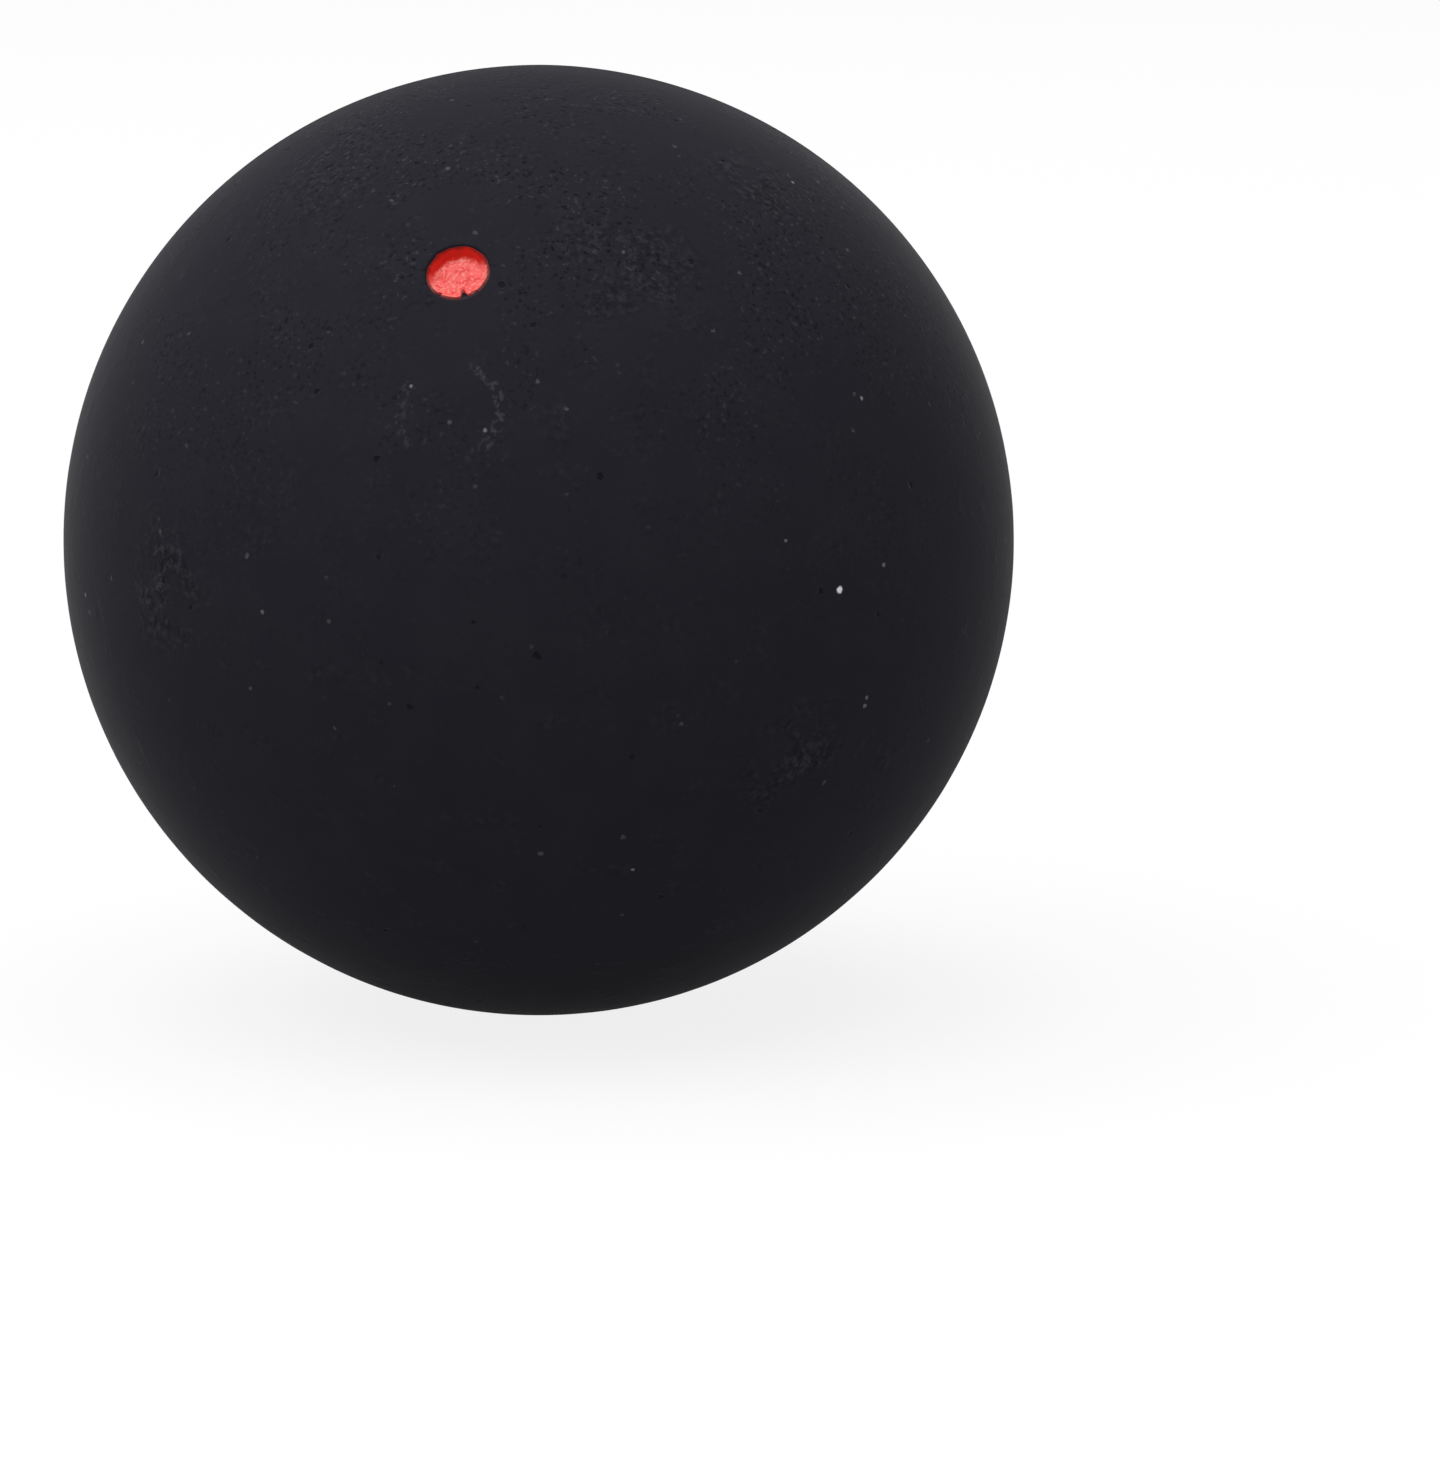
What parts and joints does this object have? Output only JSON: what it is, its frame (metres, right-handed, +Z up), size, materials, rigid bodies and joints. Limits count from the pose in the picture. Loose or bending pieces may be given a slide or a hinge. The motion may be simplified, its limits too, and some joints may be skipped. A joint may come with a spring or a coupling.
{
  "type": "squash ball",
  "caption": "Small hollow matte black rubber ball of cemented half shells, with a sunken red speed dot and plain white printed stripes, struck with a racket.",
  "frame": {"origin": "centre of the ball", "axes": "+Z up, -Y towards the front half shell with the red dot, +Y towards the printed back; the seam lies in the XZ plane"},
  "size_m": [0.04, 0.04, 0.04],
  "materials": {
    "black_rubber": "matte, finely buffed",
    "rubber_cement": "matte, cured flush",
    "red_paint": "matte paint",
    "white_ink": "matte printed ink"
  },
  "bodies": {
    "root": {"front_half_shell": "black_rubber", "rear_half_shell": "black_rubber", "seam_bond": "rubber_cement", "dot_paint": "red_paint", "print_stripes": "white_ink"}
  },
  "joints": []
}
